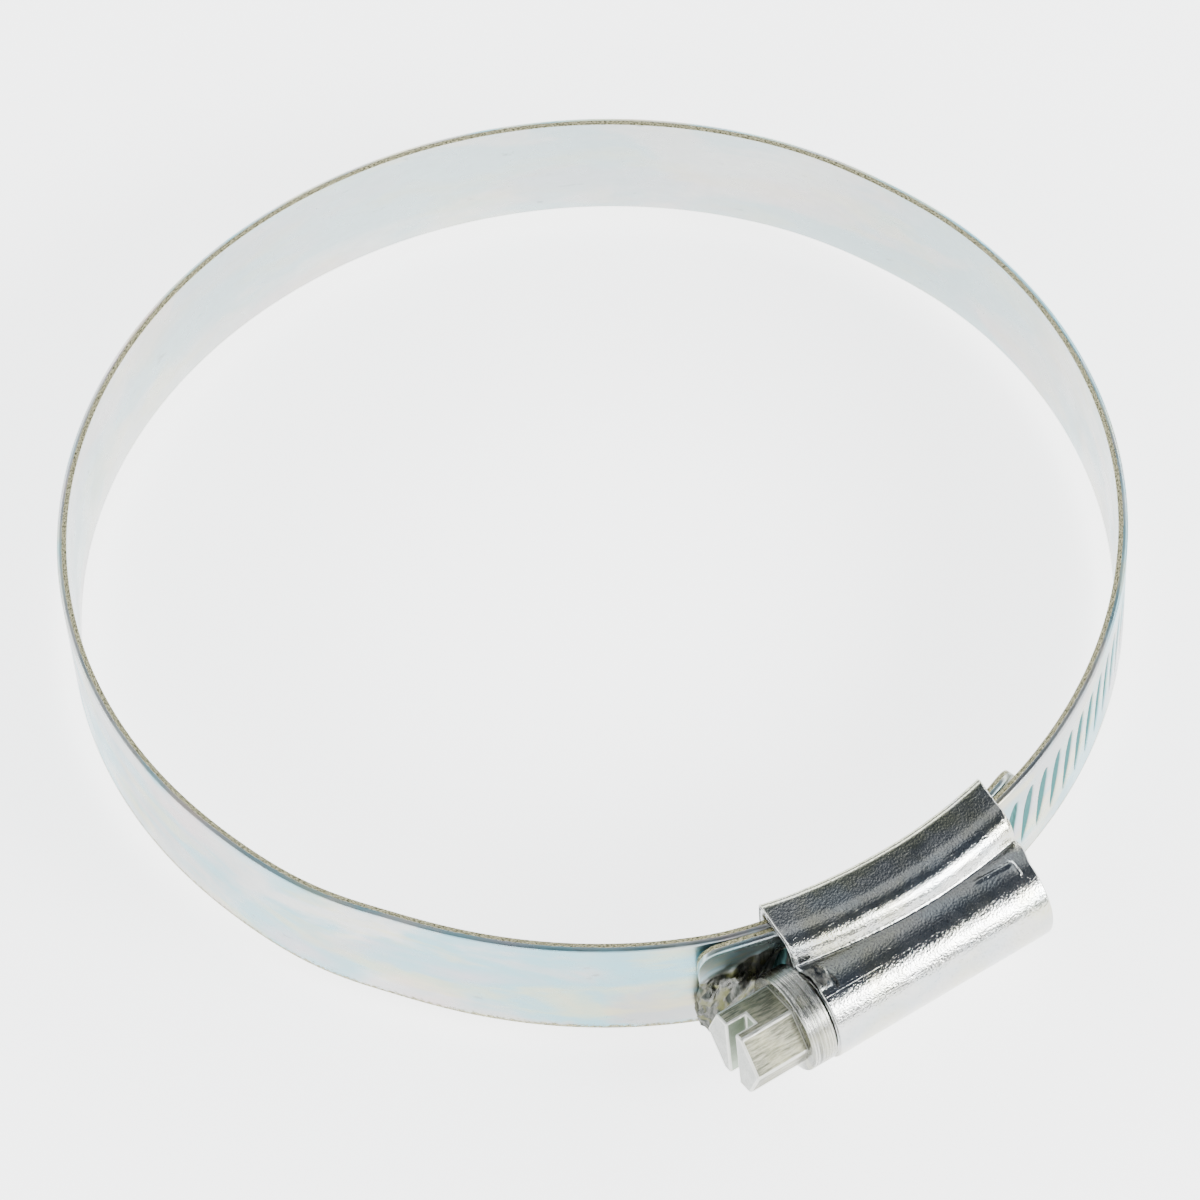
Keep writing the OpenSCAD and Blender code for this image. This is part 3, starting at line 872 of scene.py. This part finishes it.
def hexagon_head():
    """The slotted hexagon: cut with a boolean, then every edge eased by a bevel."""
    def block(name, points, faces):
        mesh = bpy.data.meshes.new(name)
        mesh.from_pydata([tuple(p) for p in points], [], faces)
        made = bpy.data.objects.new(name, mesh)
        bpy.context.scene.collection.objects.link(made)
        return made
    r = HEX_AF / math.sqrt(3)
    back, front = COLLAR_X + 0.05, COLLAR_X - HEX_LEN
    corners = [math.radians(HEAD_TURN + 60 * k) for k in range(6)]
    # the CAD turns the head round +X, counted from -Z towards +Y
    ring = [(SCREW_Y + r * math.sin(a), -r * math.cos(a)) for a in corners]
    points = [(CHANNEL[0] + x, y, z) for x in (back, front) for y, z in ring]
    faces = [list(range(6)), list(range(11, 5, -1))]
    faces += [[k, k + 6, (k + 1) % 6 + 6, (k + 1) % 6] for k in range(6)]
    head = block("screw_head", points, faces)
    t = math.radians(DRIVER_TURN)
    lengthwise, crosswise = (math.sin(t), -math.cos(t)), (math.cos(t), math.sin(t))
    cut = []
    for x in (front - 1, front + DRIVER_D):
        for u, v in ((-6, -1), (6, -1), (6, 1), (-6, 1)):
            w = v * DRIVER_W / 2
            cut.append((CHANNEL[0] + x, SCREW_Y + u * lengthwise[0] + w * crosswise[0],
                        u * lengthwise[1] + w * crosswise[1]))
    box = [[0, 1, 2, 3], [7, 6, 5, 4], [0, 4, 5, 1], [1, 5, 6, 2], [2, 6, 7, 3], [3, 7, 4, 0]]
    cutter = block("slot_cutter", cut, box)
    for o in (head, cutter):
        o.data.transform(Matrix.Scale(MM, 4))
        bpy.context.view_layer.objects.active = o
        bpy.ops.object.select_all(action="DESELECT")
        o.select_set(True)
        bpy.ops.object.mode_set(mode="EDIT")
        bpy.ops.mesh.select_all(action="SELECT")
        bpy.ops.mesh.normals_make_consistent(inside=False)
        bpy.ops.object.mode_set(mode="OBJECT")
    bpy.context.view_layer.objects.active = head
    carve = head.modifiers.new("carve", "BOOLEAN")
    carve.operation, carve.object, carve.solver = "DIFFERENCE", cutter, "EXACT"
    ease = head.modifiers.new("ease", "BEVEL")
    ease.width, ease.segments = EDGE_EASE * MM, 4
    ease.limit_method, ease.angle_limit = "ANGLE", math.radians(30)
    for modifier in ("carve", "ease"):
        bpy.ops.object.select_all(action="DESELECT")
        head.select_set(True)
        bpy.ops.object.modifier_apply(modifier=modifier)
    bpy.data.objects.remove(cutter)
    head.data.polygons.foreach_set("use_smooth", [True] * len(head.data.polygons))
    # the eased edges, whose faces are all small, are painted bright: a painted highlight
    edge_highlight = head.data.attributes.new("edge_highlight", "FLOAT", "FACE")
    edge_highlight.data.foreach_set("value", [float(face.area < 0.6 * MM**2) for face in head.data.polygons])
    head.data.materials.append(hexagon_zinc)
    return head


head = hexagon_head()
weighted = head.modifiers.new("weighted", "WEIGHTED_NORMAL")
weighted.keep_sharp = True
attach(head, "worm_screw")


# ---- stage: floor, light and camera ----
def floor():
    """A pale floor that glows a little, so that it stays white up to the object."""
    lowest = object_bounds()[0].z - 0.02 * MM
    size = 3.0
    corners = [(-size, -size), (size, -size), (size, size), (-size, size)]
    mesh = bpy.data.meshes.new("floor")
    mesh.from_pydata([(x, y, lowest) for x, y in corners], [], [[0, 1, 2, 3]])
    made = bpy.data.objects.new("floor", mesh)
    bpy.context.scene.collection.objects.link(made)
    m = Shader("floor_white")
    m.set(Base_Color=(0.92, 0.92, 0.92, 1), Roughness=0.9)
    m.set(Specular_IOR_Level=0.1, Emission_Color=(1, 1, 1, 1), Emission_Strength=2.8)
    mesh.materials.append(m.material)
    made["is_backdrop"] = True


# brightness of the sky against the sine of the height, in front of the object and behind it
SKY_FRONT = [(0.0, 0.008), (0.28, 0.008), (0.34, 0.62), (0.49, 0.60), (0.57, 0.012), (0.90, 0.006),
             (1.0, 0.010)]
SKY_BACK = [(0.0, 0.02), (0.10, 0.02), (0.20, 0.55), (0.44, 0.5), (0.58, 0.05), (0.86, 0.040),
            (0.94, 0.085), (0.975, 0.085), (0.995, 0.014), (1.0, 0.010)]
SKY_STRENGTH = 12.0
SKY_TURN = 25               # degrees that the front strip is turned from straight ahead
SKY_BLEND = 0.25


def surroundings():
    """A dark roof with a bright low strip in front and a dimmer, lower one behind."""
    world = bpy.data.worlds.new("tent")
    world.use_nodes = True
    bpy.context.scene.world = world
    tree = world.node_tree

    def node(kind, **settings):
        made = tree.nodes.new("ShaderNode" + kind)
        for key, value in settings.items():
            setattr(made, key, value)
        return made

    def bands(stops):
        made = node("ValToRGB")
        tree.links.new(split.outputs["Z"], made.inputs[0])
        elements = made.color_ramp.elements
        elements[0].position, elements[1].position = stops[0][0], stops[-1][0]
        for position, _ in stops[1:-1]:
            elements.new(position)
        for element, (_, value) in zip(elements, stops):
            element.color = (value * 0.97 - 0.001, value, value * 1.01 + 0.002, 1)
        return made.outputs[0]
    coords = node("TexCoord")
    split = node("SeparateXYZ")
    tree.links.new(coords.outputs["Generated"], split.inputs[0])
    front = bands(SKY_FRONT)
    back = bands(SKY_BACK)
    facing = node("VectorMath", operation="DOT_PRODUCT")
    tree.links.new(coords.outputs["Generated"], facing.inputs[0])
    way = math.radians(SKY_TURN)
    facing.inputs[1].default_value = (math.sin(way), -math.cos(way), 0)
    share = node("MapRange", interpolation_type="SMOOTHSTEP")
    tree.links.new(facing.outputs["Value"], share.inputs["Value"])
    share.inputs["From Min"].default_value = -SKY_BLEND
    share.inputs["From Max"].default_value = SKY_BLEND
    blend = node("Mix", data_type="RGBA")
    tree.links.new(share.outputs[0], blend.inputs[0])
    tree.links.new(back, blend.inputs[6])
    tree.links.new(front, blend.inputs[7])
    background = tree.nodes["Background"]
    tree.links.new(blend.outputs[2], background.inputs[0])
    background.inputs[1].default_value = SKY_STRENGTH


def direction(azimuth, elevation):
    """From the origin towards a place at these angles, in radians; azimuth 0 is the front, -Y."""
    level = math.cos(elevation)
    return Vector((math.sin(azimuth) * level, -math.cos(azimuth) * level, math.sin(elevation)))


def lamp(name, azimuth, elevation, distance, size, power):
    data = bpy.data.lights.new(name, "AREA")
    data.shape, data.size, data.energy = "DISK", size, power
    made = bpy.data.objects.new(name, data)
    back = direction(math.radians(azimuth), math.radians(elevation))
    made.location = back * distance
    made.rotation_mode = "QUATERNION"
    made.rotation_quaternion = (-back).to_track_quat("-Z", "Y")
    bpy.context.scene.collection.objects.link(made)


def camera():
    """The photograph's view: a long lens from the front left, turned slightly."""
    azimuth, elevation, tilt = math.radians(-30.46), math.radians(50.8), math.radians(-4.0)
    distance = 0.4445
    back = direction(azimuth, elevation)
    level = Vector((math.cos(azimuth), math.sin(azimuth), 0))
    right = level * math.cos(tilt) + back.cross(level) * math.sin(tilt)
    up = back.cross(right)
    data = bpy.data.cameras.new("camera")
    data.sensor_width, data.lens = 36, 155.2
    data.shift_x, data.shift_y = 0.0076, -0.0467
    data.clip_start, data.clip_end = 0.01, 20
    made = bpy.data.objects.new("camera", data)
    turn = Matrix((right, up, back)).transposed().to_4x4()
    made.matrix_world = Matrix.Translation(back * distance) @ turn
    bpy.context.scene.collection.objects.link(made)
    bpy.context.scene.camera = made


camera()
floor()
surroundings()
lamp("key", azimuth=30, elevation=24, distance=0.8, size=0.35, power=8.0)
